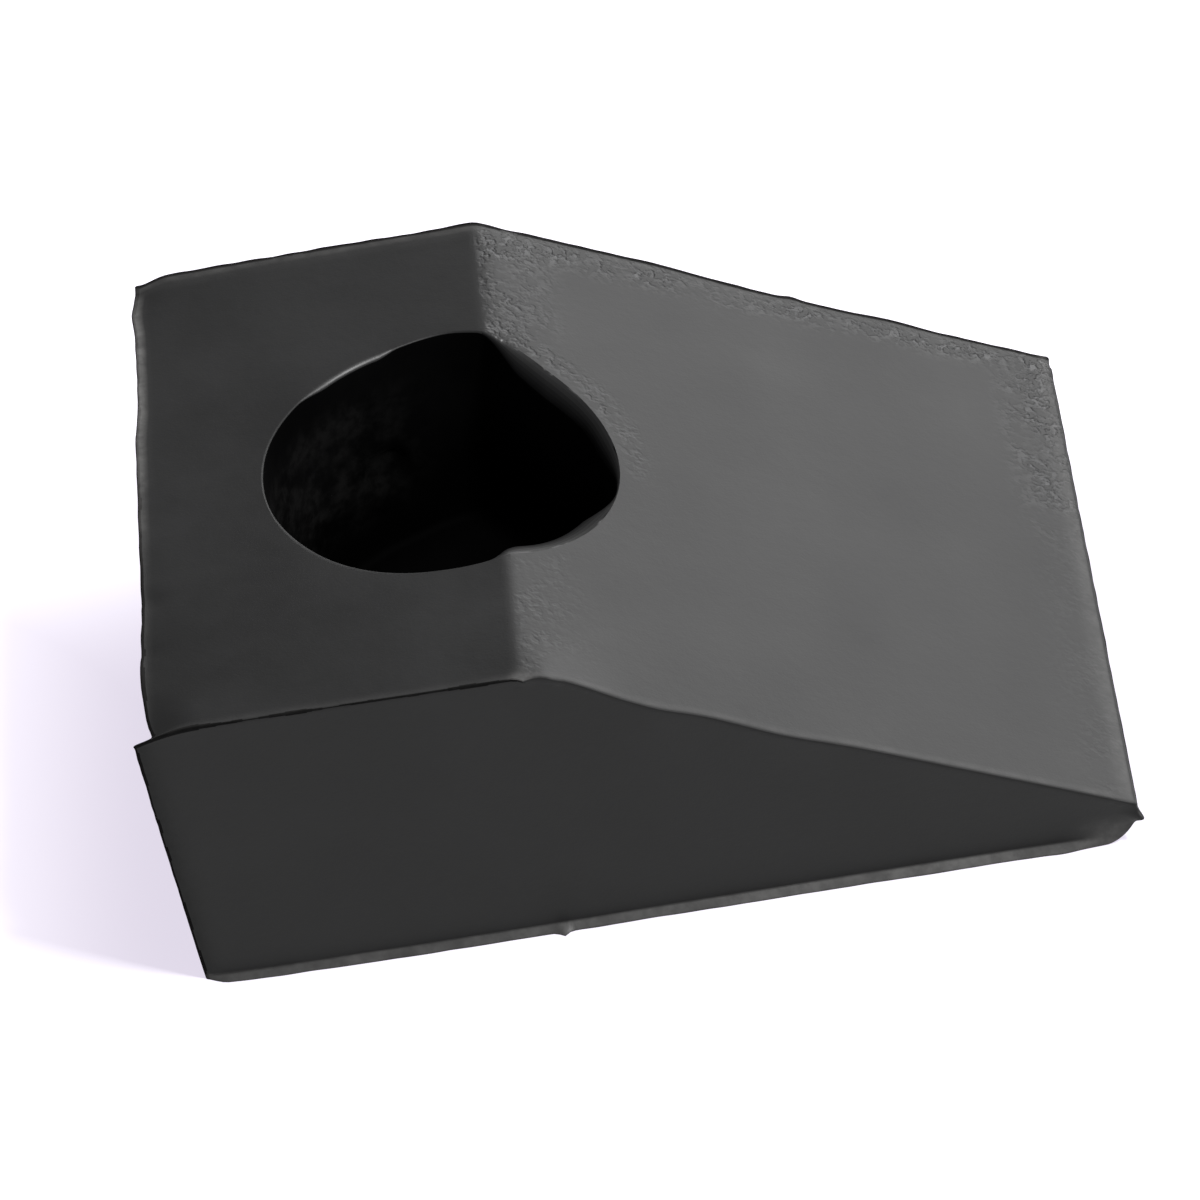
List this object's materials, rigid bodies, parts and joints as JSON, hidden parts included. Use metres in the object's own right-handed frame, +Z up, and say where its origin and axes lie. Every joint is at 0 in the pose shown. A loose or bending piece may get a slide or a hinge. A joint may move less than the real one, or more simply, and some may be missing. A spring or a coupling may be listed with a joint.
{
  "type": "wedge door stop",
  "caption": "Moulded rubber wedge door stop with a flat top, a ramp down to a low nose and a deep round recess for a floor screw seated on a steel washer.",
  "frame": {"origin": "middle of the outline's box at the base, on the floor plane", "axes": "+X towards the low nose, +Z up from the base, +Y completes a right-handed frame; the block is symmetric about Y = 0"},
  "size_m": [0.1016, 0.0742, 0.0381],
  "materials": {
    "black_rubber": "satin moulded",
    "blackened_steel": "black oxide",
    "plain_steel": "turned"
  },
  "bodies": {
    "root": {"wedge_body": "black_rubber", "seat_washer": "blackened_steel", "spacer_bush": "plain_steel"}
  },
  "joints": []
}
